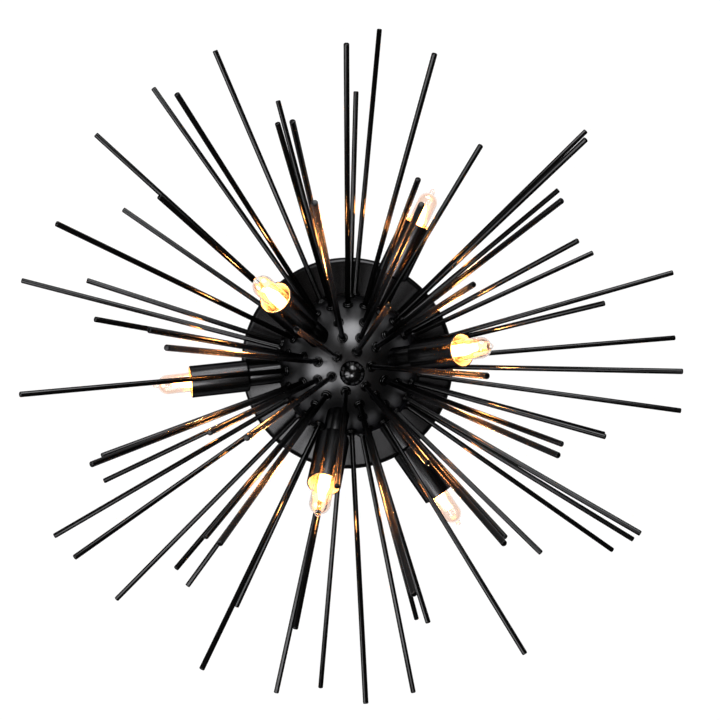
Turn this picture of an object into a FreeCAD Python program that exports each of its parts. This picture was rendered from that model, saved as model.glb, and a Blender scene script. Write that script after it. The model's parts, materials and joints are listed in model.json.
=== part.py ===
"""Sputnik burst ceiling light: a half-ball hub with rods in two lengths and six small lamps.

Millimetres, +Z up. The origin lies on the ceiling, in the middle of the mounting crossbar, and the
light hangs below it. Every turned piece is drawn along its own +X axis. A piece on the light's
upright axis is then turned nose down, so that its X is the depth below the ceiling. A rod or lamp
piece keeps X as the distance from the hub's centre, and each slot of a row turns it to its place.
"""
import FreeCAD, Part
import math
import os

import Sketcher

SIZES = {
    # canopy pan against the ceiling
    "canopy_radius": 100.0, "canopy_height": 26.0, "canopy_wall": 1.2,
    "canopy_edge_radius": 5.0, "canopy_hole_radius": 17.0,
    # hub: half ball, short straight skirt and an inner flange for the canopy screws
    "hub_radius": 66.0, "hub_wall": 1.5, "hub_skirt": 3.0, "hub_seam_angle": 54.0,
    "flange_width": 11.0, "flange_thick": 2.0,
    "flange_screw_circle": 57.5, "flange_screw_phase": 97.4, "flange_screw_dia": 4.0,
    "flange_screw_length": 6.0, "screw_head_dia": 7.5, "screw_head_height": 2.4,
    "screw_head_rim": 1.4, "screw_crown_dia": 5.0,
    # rods, with the reach of their tips from the hub's centre
    "rod_dia": 4.6, "rod_long_reach": 305.0, "rod_short_reach": 249.0, "rod_tail": 8.0,
    "rod_tip_chamfer": 0.6,
    "collar_dia": 9.6, "collar_flange": 1.4, "collar_boss_dia": 7.0, "collar_height": 2.8,
    "collar_chamfer": 0.5,
    "rod_nut_across": 7.4, "rod_nut_thick": 3.0,
    # polar angle of each row, from straight down, and the phase of its first slot
    "equator_polar": 86.0, "belt_polar": 78.5, "middle_polar": 60.5,
    "lower_polar": 41.5, "inner_polar": 27.5, "pole_polar": 15.8,
    "side_phase": 65.7, "middle_phase": 2.5, "steep_phase": 15.0,
    # lamps
    "side_lamp_polar": 79.5, "steep_lamp_polar": 39.5,
    "neck_dia": 20.2, "neck_length": 28.0,
    "cup_dia": 29.0, "cup_length": 53.0, "cup_wall": 1.5, "cup_floor": 3.5, "cup_chamfer": 2.6,
    "nipple_dia": 10.0, "nipple_bore": 6.0, "nipple_tail": 9.0, "nipple_grip": 4.0,
    "lamp_nut_across": 14.0, "lamp_nut_thick": 3.0,
    "socket_dia": 21.0, "socket_length": 26.0, "socket_rear_depth": 8.0, "socket_chamfer": 0.8,
    "pin_slot_width": 2.6, "pin_slot_height": 4.4, "pin_slot_depth": 10.0,
    # pin-base capsule bulb
    "bulb_dia": 18.0, "bulb_straight": 33.6, "bulb_wall": 0.9, "bulb_lift": 0.4,
    "pinch_length": 7.0, "pinch_width": 13.0, "pinch_thick": 4.2,
    "bulb_tip_dia": 5.0, "bulb_tip_length": 1.6,
    "pin_spacing": 9.0, "pin_dia": 1.5, "pin_length": 8.0,
    "wire_dia": 0.8, "core_dia": 10.4, "core_lift": 2.0, "core_length": 30.5,
    # crossbar, threaded stem and finial
    "bar_length": 110.0, "bar_width": 22.0, "bar_thick": 2.5,
    "bar_slot_spacing": 80.0, "bar_slot_length": 22.0, "bar_slot_width": 4.6,
    "ground_offset": 19.0,
    "stem_dia": 8.0, "stem_chamfer": 0.8, "stem_grip": 11.0, "stem_top_gap": 0.3,
    "stem_nut_across": 13.0, "stem_nut_thick": 4.0,
    "washer_dia": 14.0, "washer_thick": 1.2,
    "ball_dia": 22.0, "ball_flat": 10.0, "ball_hole_depth": 13.0,
    # lamp leads and their connectors in the canopy
    "lead_dia": 3.2, "lead_rise_radius": 13.0, "lead_depth": 14.0, "lead_bend_share": 0.45,
    "connector_reach": 38.0, "connector_dia": 9.5, "connector_tip_dia": 6.4,
    "connector_length": 24.0, "connector_bore_depth": 6.0, "connector_chamfer": 1.2,
    # clearances
    "thread_gap": 0.08, "hole_gap": 0.2, "slip_gap": 0.1, "seat_gap": 0.05,
}

# Slots of each row, counterclockwise seen from below: L long rod, S short rod, dot where a lamp stands.
ROWS = {
    "equator": (".LSLSL.SLSLS.LSLSL", "side_phase"),
    "belt": (".SLLS.LSLL.LLLS", "side_phase"),
    "middle": ("LSSLSLLSLSLSLSLSLSLSLSLS", "middle_phase"),
    "lower": (".LSL.SLS.SSS", "steep_phase"),
    "inner": (".SLL.LSL.LLL", "steep_phase"),
    "pole": ("LSSLSS", "steep_phase"),
}
ROD_LENGTHS = {"L": "long", "S": "short"}
LAMPS_PER_RING = 3
FLANGE_SCREWS = 3
LAMP_RINGS = {"side": "side_phase", "steep": "steep_phase"}

doc = FreeCAD.newDocument("BurstCeilingLight")
sheet = doc.addObject("Spreadsheet::Sheet", "Sizes")
for line, (alias, value) in enumerate(SIZES.items(), start=1):
    sheet.set(f"A{line}", alias)
    sheet.set(f"B{line}", str(value))
    sheet.setAlias(f"B{line}", alias)
doc.recompute()

SUBPARTS = []


def named(text):
    """Turn the plain size names of an expression into cells of the sheet."""
    words = sorted(SIZES, key=len, reverse=True)
    for number, word in enumerate(words):
        text = text.replace(word, f"@{number}@")
    for number, word in enumerate(words):
        text = text.replace(f"@{number}@", f"Sizes.{word}")
    return text


HUB_DROP = "(canopy_height + hub_skirt)"
HUB_INNER = "(hub_radius - hub_wall)"
POLE_DEPTH = f"({HUB_DROP} + hub_radius)"
NECK_END = "(hub_radius + neck_length)"
CUP_SEAT = f"({NECK_END} + cup_floor)"
CUP_MOUTH = f"({NECK_END} + cup_length)"
SOCKET_SEAT = f"({CUP_SEAT} + lamp_nut_thick)"
SOCKET_FACE = f"({SOCKET_SEAT} + socket_length)"
PINCH_FOOT = f"({SOCKET_FACE} + bulb_lift)"
GLASS_FOOT = f"({PINCH_FOOT} + pinch_length)"
GLASS_SHOULDER = f"({GLASS_FOOT} + bulb_straight)"
BALL_SEAT = f"({POLE_DEPTH} + washer_thick)"
BALL_CENTRE = f"({BALL_SEAT} + ball_flat)"
CORE_FOOT = f"({GLASS_FOOT} + core_lift)"


def bind(item, **expressions):
    """Tie properties of an object to the sheet."""
    for name, text in expressions.items():
        item.setExpression(name, named(text))
    return item


def place(item, x="0", y="0", z="0", yaw="0", pitch="0", roll="0", prop="Placement"):
    """Tie an object's place: its base point, then yaw about Z, nose-down pitch about Y and roll about X."""
    item.setExpression(prop, named(
        f"create(<<placement>>; create(<<vector>>; {x}; {y}; {z});"
        f" create(<<rotation>>; {yaw}; {pitch}; {roll}))"))
    return item


def keep(item, label):
    """Mark a finished object as a sub-part; its label names its file."""
    item.Label = label
    SUBPARTS.append(item)
    return item


def turned(name, outline):
    """Revolve a closed outline of (x, radius) points about the X axis, as a body of its own."""
    body = doc.addObject("PartDesign::Body", name)
    sketch = body.newObject("Sketcher::SketchObject", f"{name}Outline")
    plane = next(item for item in body.Origin.OriginFeatures if item.Role == "XY_Plane")
    sketch.AttachmentSupport = [(plane, "")]
    sketch.MapMode = "FlatFace"
    points = [(evaluate(x), evaluate(radius)) for x, radius in outline]
    count = len(points)
    for here in range(count):
        start, end = points[here], points[(here + 1) % count]
        sketch.addGeometry(Part.LineSegment(FreeCAD.Vector(*start, 0), FreeCAD.Vector(*end, 0)))
    for here in range(count):
        sketch.addConstraint(Sketcher.Constraint("Coincident", here, 2, (here + 1) % count, 1))
    for here, (x, radius) in enumerate(outline):
        across, up = points[here]
        for kind, text, value in (("DistanceX", x, across), ("DistanceY", radius, up)):
            index = sketch.addConstraint(Sketcher.Constraint(kind, -1, 1, here, 1, value))
            sketch.setExpression(f"Constraints[{index}]", named(text))
    revolution = body.newObject("PartDesign::Revolution", f"{name}Turn")
    revolution.Profile = sketch
    revolution.ReferenceAxis = (sketch, ["H_Axis"])
    revolution.Angle = 360
    return body


def evaluate(text):
    """Work out an expression of sizes as a number."""
    return float(sheet.evalExpression(named(text)))


def upright(item, x="0", y="0"):
    """Turn a piece nose down, so that its X axis is the depth below the ceiling."""
    return place(item, x=x, y=y, pitch="90")


def cylinder(name, radius, length, x="0", y="0", z="0", pitch="90"):
    """A round bar from a point along +X (pitch 90) or along +Z (pitch 0)."""
    item = bind(doc.addObject("Part::Cylinder", name), Radius=radius, Height=length)
    return place(item, x, y, z, pitch=pitch)


def box(name, length, width, height, x, y, z):
    """A block, centred on y and z, that starts at x."""
    item = bind(doc.addObject("Part::Box", name), Length=length, Width=width, Height=height)
    return place(item, x, f"{y} - ({width}) / 2", f"{z} - ({height}) / 2")


def ball(name, radius, x="0", z="0"):
    """A whole ball with its centre on the plane of symmetry."""
    item = bind(doc.addObject("Part::Sphere", name), Radius=radius)
    return place(item, x, "0", z)


def dome(name, radius, x):
    """A half ball that starts at x and bulges along +X."""
    item = bind(doc.addObject("Part::Sphere", name), Radius=radius)
    item.Angle1 = 0
    return place(item, x, pitch="90")


def fused(name, pieces):
    """Pieces joined into one solid."""
    item = doc.addObject("Part::MultiFuse", name)
    item.Shapes = pieces
    return item


def cut(name, base, tools):
    """Take one tool, or several tools joined first, from a base."""
    item = doc.addObject("Part::Cut", name)
    item.Base = base
    item.Tool = tools[0] if len(tools) == 1 else fused(f"{name}Tools", tools)
    return item


def hex_nut(name, across, thick, hole_radius, x):
    """A hexagon nut along +X that starts at x."""
    prism = doc.addObject("Part::Prism", f"{name}Blank")
    prism.Polygon = 6
    bind(prism, Circumradius=f"({across}) / sqrt(3)", Height=thick)
    place(prism, x=x, pitch="90")
    bore = cylinder(f"{name}Bore", hole_radius, thick, x=x)
    return cut(name, prism, [bore])


def linked(name, master, yaw, pitch="0", z="0"):
    """A copy of a master, turned to its slot about the light's axis."""
    copy = doc.addObject("App::Link", name)
    copy.LinkedObject = master
    copy.LinkTransform = True
    return place(copy, z=z, yaw=yaw, pitch=pitch, prop="LinkPlacement")


def gathered(name, copies):
    """Copies kept as separate solids in one object."""
    group = doc.addObject("Part::Compound", name)
    group.Links = copies
    return group


def slot_yaw(phase, number, count):
    """Yaw of one slot of a row; slots run counterclockwise as seen from below."""
    return f"-({phase} + {number} * 360 / {count})"


def row_slots(row, wanted="LS"):
    """Yaw and pitch of every slot of a row that holds a rod of the wanted lengths."""
    code, phase = ROWS[row]
    return [(slot_yaw(phase, number, len(code)), f"(90 - {row}_polar)")
            for number, letter in enumerate(code) if letter in wanted]


def lamp_slots():
    """Ring, yaw and pitch of the six lamps, one ring after the other."""
    return [(ring, slot_yaw(phase, number, LAMPS_PER_RING), f"(90 - {ring}_lamp_polar)")
            for ring, phase in LAMP_RINGS.items() for number in range(LAMPS_PER_RING)]


def around_hub(name, master, slots):
    """Copies of a master on slots of the hub, gathered into one object."""
    return gathered(name, [linked(f"{name}{number}", master, yaw, pitch, f"-{HUB_DROP}")
                           for number, (yaw, pitch) in enumerate(slots)])


def flange_screw_yaws():
    """Yaw of each screw between the canopy and the hub's flange."""
    return [slot_yaw("flange_screw_phase", number, FLANGE_SCREWS) for number in range(FLANGE_SCREWS)]


def round_edge(body, name, radius, x, edge_radius):
    """Round the circular edge of a turned body that lies at x with the given radius."""
    doc.recompute()
    base = body.Tip
    at, size = evaluate(x), evaluate(edge_radius)
    edges = [f"Edge{number}" for number, edge in enumerate(base.Shape.Edges, start=1)
             if isinstance(edge.Curve, Part.Circle)
             and abs(edge.Curve.Radius - size) < 1e-6 and abs(edge.Curve.Center.x - at) < 1e-6]
    fillet = body.newObject("PartDesign::Fillet", name)
    fillet.Base = (base, edges)
    return bind(fillet, Radius=radius)


def make_crossbar():
    """Flat steel strip: tapped middle hole, two slots for the outlet box and a tapped ground hole."""
    strip = box("BarStrip", "bar_length", "bar_width", "bar_thick",
                "-bar_length / 2", "0", "-bar_thick / 2")
    tools = [cylinder("BarStemHole", "stem_dia / 2 + thread_gap", "bar_thick * 3",
                      z="-bar_thick * 2", pitch="0"),
             cylinder("BarGroundHole", "flange_screw_dia / 2 + thread_gap", "bar_thick * 3",
                      x="ground_offset", z="-bar_thick * 2", pitch="0")]
    for side, sign in (("Left", "-"), ("Right", "")):
        middle = f"{sign}bar_slot_spacing / 2"
        run = "(bar_slot_length - bar_slot_width)"
        tools.append(box(f"BarSlot{side}", run, "bar_slot_width", "bar_thick * 3",
                         f"{middle} - {run} / 2", "0", "-bar_thick / 2"))
        for end, step in (("In", "-"), ("Out", "+")):
            tools.append(cylinder(f"BarSlot{side}{end}", "bar_slot_width / 2", "bar_thick * 3",
                                  x=f"{middle} {step} {run} / 2", z="-bar_thick * 2", pitch="0"))
    keep(cut("Crossbar", strip, tools), "mounting_crossbar")

    ground = turned("GroundScrew", [
        ("stem_top_gap", "0"), ("stem_top_gap", "flange_screw_dia / 2"),
        ("bar_thick", "flange_screw_dia / 2"), ("bar_thick", "screw_head_dia / 2"),
        ("bar_thick + screw_head_rim", "screw_head_dia / 2"),
        ("bar_thick + screw_head_height", "screw_crown_dia / 2"), ("bar_thick + screw_head_height", "0")])
    keep(upright(ground, x="ground_offset"), "ground_screw")


def make_stem():
    """Threaded rod from the crossbar to the finial, and its lock nut under the bar."""
    end = f"({BALL_SEAT} + stem_grip)"
    stem = turned("Stem", [
        ("stem_top_gap", "0"), ("stem_top_gap", "stem_dia / 2 - stem_chamfer"),
        ("stem_top_gap + stem_chamfer", "stem_dia / 2"), (f"{end} - stem_chamfer", "stem_dia / 2"),
        (end, "stem_dia / 2 - stem_chamfer"), (end, "0")])
    keep(upright(stem), "threaded_stem")
    nut = hex_nut("StemNut", "stem_nut_across", "stem_nut_thick", "stem_dia / 2 + thread_gap", "bar_thick")
    keep(gathered("StemNutSeat", [linked("StemNutTurn", nut, "0", "90")]), "stem_lock_nut")


def make_canopy():
    """Spun pan with a rounded lower edge, open to the ceiling, and the screws into the hub's flange."""
    floor = "(canopy_height - canopy_wall)"
    pan = turned("CanopyPan", [
        ("0", "canopy_radius"), ("canopy_height", "canopy_radius"), ("canopy_height", "canopy_hole_radius"),
        (floor, "canopy_hole_radius"), (floor, "canopy_radius - canopy_wall"),
        ("0", "canopy_radius - canopy_wall")])
    round_edge(pan, "CanopyInnerRound", "canopy_edge_radius - canopy_wall", floor,
               "canopy_radius - canopy_wall")
    round_edge(pan, "CanopyOuterRound", "canopy_edge_radius", "canopy_height", "canopy_radius")
    upright(pan)
    drill = cylinder("CanopyScrewHole", "flange_screw_dia / 2 + hole_gap", "canopy_wall * 3",
                     x="flange_screw_circle", z="-canopy_height - canopy_wall", pitch="0")
    drills = [linked(f"CanopyDrill{number}", drill, yaw) for number, yaw in enumerate(flange_screw_yaws())]
    keep(cut("Canopy", pan, drills), "canopy")

    tip = f"({floor} + flange_screw_length)"
    screw = turned("FlangeScrew", [
        (f"{floor} - screw_head_height", "0"), (f"{floor} - screw_head_height", "screw_crown_dia / 2"),
        (f"{floor} - screw_head_rim", "screw_head_dia / 2"), (floor, "screw_head_dia / 2"),
        (floor, "flange_screw_dia / 2"), (tip, "flange_screw_dia / 2"), (tip, "0")])
    upright(screw, x="flange_screw_circle")
    keep(gathered("FlangeScrews", [linked(f"FlangeScrew{number}", screw, yaw)
                                   for number, yaw in enumerate(flange_screw_yaws())]), "canopy_screws")


def make_hub():
    """Half-ball shell with a skirt, an inner flange, and a hole for every rod, lamp and screw."""
    def shell_piece(kind, name, z, **sizes):
        item = bind(doc.addObject(kind, name), **sizes)
        return place(item, z=z, yaw="-hub_seam_angle")

    def half_ball(name, radius):
        item = shell_piece("Part::Sphere", name, f"-{HUB_DROP}", Radius=radius)
        item.Angle1, item.Angle2 = -90, 0
        return item

    outer = fused("HubOuter", [
        half_ball("HubBall", "hub_radius"),
        shell_piece("Part::Cylinder", "HubSkirt", f"-{HUB_DROP}", Radius="hub_radius", Height="hub_skirt")])
    hollow = [
        half_ball("HubHollow", HUB_INNER),
        shell_piece("Part::Cylinder", "HubSkirtHollow", f"-{HUB_DROP}", Radius=HUB_INNER,
                    Height="hub_skirt - flange_thick"),
        shell_piece("Part::Cylinder", "HubFlangeHollow", f"-{HUB_DROP}",
                    Radius=f"{HUB_INNER} - flange_width", Height="hub_skirt * 2")]
    shell = cut("HubShell", outer, hollow)

    rod_drill = cylinder("RodDrill", "rod_dia / 2 + slip_gap", "hub_wall * 4",
                         x="hub_radius - hub_wall * 2")
    lamp_drill = cylinder("LampDrill", "nipple_dia / 2 + slip_gap", "hub_wall * 4",
                          x="hub_radius - hub_wall * 2")
    screw_drill = cylinder("FlangeDrill", "flange_screw_dia / 2 + thread_gap", "flange_thick * 3",
                           x="flange_screw_circle", z="-canopy_height - flange_thick * 2", pitch="0")
    pole_drill = cylinder("PoleDrill", "stem_dia / 2 + hole_gap", "hub_wall * 4",
                          z=f"-{POLE_DEPTH} - hub_wall", pitch="0")
    tools = [linked(f"RodDrill{row}{number}", rod_drill, yaw, pitch, f"-{HUB_DROP}")
             for row in ROWS for number, (yaw, pitch) in enumerate(row_slots(row))]
    tools += [linked(f"LampDrill{number}", lamp_drill, yaw, pitch, f"-{HUB_DROP}")
              for number, (ring, yaw, pitch) in enumerate(lamp_slots())]
    tools += [linked(f"FlangeDrill{number}", screw_drill, yaw)
              for number, yaw in enumerate(flange_screw_yaws())]
    keep(cut("Hub", shell, [gathered("HubDrills", tools + [pole_drill])]), "hub_dome")


def make_finial():
    """Washer and ball nut on the end of the stem."""
    washer = turned("Washer", [
        (POLE_DEPTH, "stem_dia / 2 + hole_gap"), (POLE_DEPTH, "washer_dia / 2"),
        (BALL_SEAT, "washer_dia / 2"), (BALL_SEAT, "stem_dia / 2 + hole_gap")])
    keep(upright(washer), "finial_washer")

    sphere = ball("FinialBall", "ball_dia / 2", z=f"-{BALL_CENTRE}")
    flat = cylinder("FinialFlat", "ball_dia / 2", "ball_dia", z=f"-{BALL_SEAT}", pitch="0")
    thread = cylinder("FinialThread", "stem_dia / 2 + thread_gap", "ball_hole_depth * 2",
                      z=f"-{BALL_SEAT} - ball_hole_depth", pitch="0")
    keep(cut("Finial", sphere, [flat, thread]), "ball_finial")


def make_rods():
    """Rods of every row in two lengths, with their collars outside and nuts inside the hub."""
    foot = "(hub_radius - rod_tail)"
    for letter, length in ROD_LENGTHS.items():
        tip = f"rod_{length}_reach"
        rod = turned(f"Rod{length.title()}", [
            (foot, "0"), (foot, "rod_dia / 2"), (f"{tip} - rod_tip_chamfer", "rod_dia / 2"),
            (tip, "rod_dia / 2 - rod_tip_chamfer"), (tip, "0")])
        for row in ROWS:
            keep(around_hub(f"Rods{row.title()}{length.title()}", rod, row_slots(row, letter)),
                 f"{row}_rods_{length}")

    step, top = "(hub_radius + collar_flange)", "(hub_radius + collar_height)"
    collar = turned("Collar", [
        ("hub_radius", "rod_dia / 2 + slip_gap"), ("hub_radius", "collar_dia / 2"),
        (f"{step} - collar_chamfer", "collar_dia / 2"), (step, "collar_dia / 2 - collar_chamfer"),
        (step, "collar_boss_dia / 2"), (f"{top} - collar_chamfer", "collar_boss_dia / 2"),
        (top, "collar_boss_dia / 2 - collar_chamfer"), (top, "rod_dia / 2 + slip_gap")])
    every_slot = [slot for row in ROWS for slot in row_slots(row)]
    keep(around_hub("Collars", collar, every_slot), "rod_collars")

    nut = hex_nut("RodNut", "rod_nut_across", "rod_nut_thick", "rod_dia / 2 + thread_gap",
                  f"{nut_seat('rod_nut_across')} - rod_nut_thick")
    keep(around_hub("RodNuts", nut, every_slot), "rod_nuts")


def nut_seat(across):
    """Distance from the hub's centre at which a nut's corners meet the inside of the shell."""
    return f"(sqrt({HUB_INNER} ^ 2 - ({across}) ^ 2 / 3) - seat_gap)"


def make_lamp_metal():
    """Masters of a lamp's neck, cup, nipple and nuts."""
    hole = "nipple_dia / 2 + slip_gap"
    tube = turned("NeckTube", [
        ("hub_radius - hub_wall", hole), ("hub_radius - hub_wall", "neck_dia / 2"),
        (NECK_END, "neck_dia / 2"), (NECK_END, hole)])
    neck = cut("Neck", tube, [ball("NeckSaddle", "hub_radius + seat_gap")])
    inner = "cup_dia / 2 - cup_wall"
    cup = turned("Cup", [
        (NECK_END, hole), (NECK_END, "cup_dia / 2 - cup_chamfer"),
        (f"{NECK_END} + cup_chamfer", "cup_dia / 2"), (CUP_MOUTH, "cup_dia / 2"), (CUP_MOUTH, inner),
        (CUP_SEAT, inner), (CUP_SEAT, hole)])
    nipple_end = f"({SOCKET_SEAT} + nipple_grip)"
    nipple = turned("Nipple", [
        ("hub_radius - nipple_tail", "nipple_bore / 2"), ("hub_radius - nipple_tail", "nipple_dia / 2"),
        (nipple_end, "nipple_dia / 2"), (nipple_end, "nipple_bore / 2")])
    thread = "nipple_dia / 2 + thread_gap"
    hub_nut = hex_nut("LampHubNut", "lamp_nut_across", "lamp_nut_thick", thread,
                      f"{nut_seat('lamp_nut_across')} - lamp_nut_thick")
    cup_nut = hex_nut("LampCupNut", "lamp_nut_across", "lamp_nut_thick", thread, CUP_SEAT)
    return neck, cup, nipple, hub_nut, cup_nut


def make_socket():
    """Master of the ceramic pin socket, with the nipple's hole behind and two pin slots in front."""
    rear = "nipple_dia / 2 + thread_gap"
    body = turned("SocketBody", [
        (SOCKET_SEAT, rear), (SOCKET_SEAT, "socket_dia / 2"),
        (f"{SOCKET_FACE} - socket_chamfer", "socket_dia / 2"),
        (SOCKET_FACE, "socket_dia / 2 - socket_chamfer"), (SOCKET_FACE, "0"),
        (f"{SOCKET_SEAT} + socket_rear_depth", "0"), (f"{SOCKET_SEAT} + socket_rear_depth", rear)])
    slots = [box(f"PinSlot{side}", "pin_slot_depth * 2", "pin_slot_width", "pin_slot_height",
                 f"{SOCKET_FACE} - pin_slot_depth", f"{sign}pin_spacing / 2", "0")
             for side, sign in (("Left", "-"), ("Right", ""))]
    return cut("Socket", body, slots)


def make_bulb():
    """Masters of the glass capsule with its sealed tip, and of its lit core on two wires and pins."""
    radius, inside = "bulb_dia / 2", "(bulb_dia / 2 - bulb_wall)"
    dome_top = f"({GLASS_SHOULDER} + bulb_dia / 2)"
    outer = fused("GlassOuter", [
        cylinder("GlassTube", radius, "bulb_straight", x=GLASS_FOOT),
        dome("GlassDome", radius, GLASS_SHOULDER),
        cylinder("GlassTip", "bulb_tip_dia / 2", "bulb_tip_length + bulb_wall",
                 x=f"{dome_top} - bulb_wall"),
        dome("GlassTipEnd", "bulb_tip_dia / 2", f"{dome_top} + bulb_tip_length"),
        box("GlassPinch", "pinch_length + bulb_wall", "pinch_width", "pinch_thick", PINCH_FOOT, "0", "0")])
    hollow = [cylinder("GlassHollow", inside, "bulb_straight - bulb_wall", x=f"{GLASS_FOOT} + bulb_wall"),
              dome("GlassHollowDome", inside, GLASS_SHOULDER)]
    core = [cylinder("CoreBody", "core_dia / 2", "core_length", x=CORE_FOOT),
            dome("CoreEnd", "core_dia / 2", f"{CORE_FOOT} + core_length")]
    for side, sign in (("Left", "-"), ("Right", "")):
        middle = f"{sign}pin_spacing / 2"
        hollow.append(cylinder(f"GlassWireHole{side}", "wire_dia / 2 + slip_gap",
                               "pinch_length + bulb_wall * 3", x=f"{PINCH_FOOT} - bulb_wall", y=middle))
        core.append(cylinder(f"Pin{side}", "pin_dia / 2", "pin_length", x=f"{PINCH_FOOT} - pin_length",
                             y=middle))
        core.append(cylinder(f"Wire{side}", "wire_dia / 2", f"{CORE_FOOT} - {PINCH_FOOT} + wire_dia",
                             x=PINCH_FOOT, y=middle))
    return cut("Glass", outer, hollow), fused("BulbCore", core)


def lead_path(polar):
    """Corners of a lamp lead in its upright plane: socket, hub's axis, canopy, connector."""
    down = evaluate(HUB_DROP)
    angle = math.radians(evaluate(polar))
    start = evaluate(f"{SOCKET_SEAT} + socket_rear_depth")
    rise = evaluate("lead_rise_radius")
    level = -evaluate("lead_depth")
    foot = -down - rise / math.tan(angle)
    return [FreeCAD.Vector(start * math.sin(angle), 0, -down - start * math.cos(angle)),
            FreeCAD.Vector(rise, 0, foot), FreeCAD.Vector(rise, 0, level),
            FreeCAD.Vector(evaluate("connector_reach + connector_bore_depth"), 0, level)]


def rounded_wire(corners):
    """Straight runs joined by tangent arcs, each as large as its two runs allow."""
    edges, here, share = [], corners[0], evaluate("lead_bend_share")
    for before, corner, after in zip(corners, corners[1:], corners[2:]):
        into, out = (corner - before), (after - corner)
        reach = share * min(into.Length, out.Length)
        turn = into.getAngle(out)
        into.normalize()
        out.normalize()
        begin, end = corner - into * reach, corner + out * reach
        radius = reach / math.tan(turn / 2)
        print(f"lead bend radius {radius:.1f} mm")
        bisector = (out - into).normalize()
        middle = corner + bisector * (radius / math.cos(turn / 2) - radius)
        edges += [Part.LineSegment(here, begin).toShape(), Part.Arc(begin, middle, end).toShape()]
        here = end
    edges.append(Part.LineSegment(here, corners[-1]).toShape())
    return Part.Wire(edges)


def make_lead(ring):
    """One lamp lead as a plain tube along its route, drawn in the upright plane through +X."""
    wire = rounded_wire(lead_path(f"{ring}_lamp_polar"))
    first = wire.Edges[0]
    start, along = first.valueAt(first.FirstParameter), first.tangentAt(first.FirstParameter)
    section = Part.Wire(Part.Circle(start, along, evaluate("lead_dia / 2")).toShape())
    tube = wire.makePipeShell([section], True, True)
    item = doc.addObject("Part::Feature", f"Lead{ring.title()}")
    item.Shape = tube
    return item


def make_connector():
    """Master of a twist-on wire connector, lying along +X at the leads' depth."""
    mouth, end = "connector_reach", "(connector_reach + connector_length)"
    bore, floor = "lead_dia / 2 + slip_gap", "(connector_reach + connector_bore_depth)"
    cone = turned("Connector", [
        (mouth, bore), (mouth, "connector_dia / 2"),
        (f"{end} - connector_chamfer", "connector_tip_dia / 2"),
        (end, "connector_tip_dia / 2 - connector_chamfer"), (end, "0"), (floor, "0"), (floor, bore)])
    return cone


def make_lamps():
    """Six lamps: their own necks, cups, sockets and bulbs, and shared groups of small pieces."""
    neck, cup, nipple, hub_nut, cup_nut = make_lamp_metal()
    glass, core = make_bulb()
    masters = {"neck": neck, "cup": cup, "socket": make_socket(), "bulb_glass": glass, "bulb_core": core}
    slots = lamp_slots()
    for number, (ring, yaw, pitch) in enumerate(slots, start=1):
        for piece, master in masters.items():
            name = f"Lamp{number}{piece.title().replace('_', '')}"
            keep(around_hub(name, master, [(yaw, pitch)]), f"lamp_{number}_{piece}")
    places = [(yaw, pitch) for ring, yaw, pitch in slots]
    for name, master, label in (("Nipples", nipple, "lamp_nipples"), ("HubNuts", hub_nut, "lamp_hub_nuts"),
                                ("CupNuts", cup_nut, "lamp_cup_nuts")):
        keep(around_hub(name, master, places), label)
    leads = {ring: make_lead(ring) for ring in LAMP_RINGS}
    keep(gathered("Leads", [linked(f"Lead{number}", leads[ring], yaw)
                            for number, (ring, yaw, pitch) in enumerate(slots)]), "lamp_leads")
    connector = make_connector()
    keep(gathered("Connectors", [linked(f"Connector{number}", connector, yaw, z="-lead_depth")
                                 for number, (ring, yaw, pitch) in enumerate(slots)]), "wire_connectors")


def write_parts():
    """Check every object, then write each sub-part to its own file."""
    doc.recompute()
    failed = [item.Name for item in doc.Objects if {"Invalid", "Error"} & set(item.State)]
    if failed:
        raise RuntimeError(f"objects that failed: {failed}")
    for item in SUBPARTS:
        if item.Shape.isNull() or not item.Shape.isValid() or not item.Shape.Solids:
            raise RuntimeError(f"{item.Label} has no valid solid")
    os.makedirs("parts", exist_ok=True)
    for item in SUBPARTS:
        item.Shape.exportStep(f"parts/{item.Label}.step")
        print(f"{item.Label}: {len(item.Shape.Solids)} solids, {item.Shape.Volume:.1f} mm3")


make_crossbar()
make_stem()
make_canopy()
make_hub()
make_finial()
make_rods()
make_lamps()
write_parts()
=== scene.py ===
"""Looks of a burst ceiling light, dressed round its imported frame.

The light hangs from a pale ceiling and the camera looks up at it from below, as in the photograph.
Everything is in metres, in the frame of the CAD model: +Z is up, and the ceiling lies at zero. A piece
that stands out from the hub is drawn along its own +X axis, with X as the distance from the hub's
centre. A piece on the light's upright axis is drawn with X as the depth below the ceiling.
"""

import json
import logging
import math
from dataclasses import dataclass, replace
from enum import Enum
from itertools import combinations
from typing import Iterable, Protocol, Sequence

import bmesh
import bpy
from mathutils import Euler, Matrix, Vector


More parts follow.
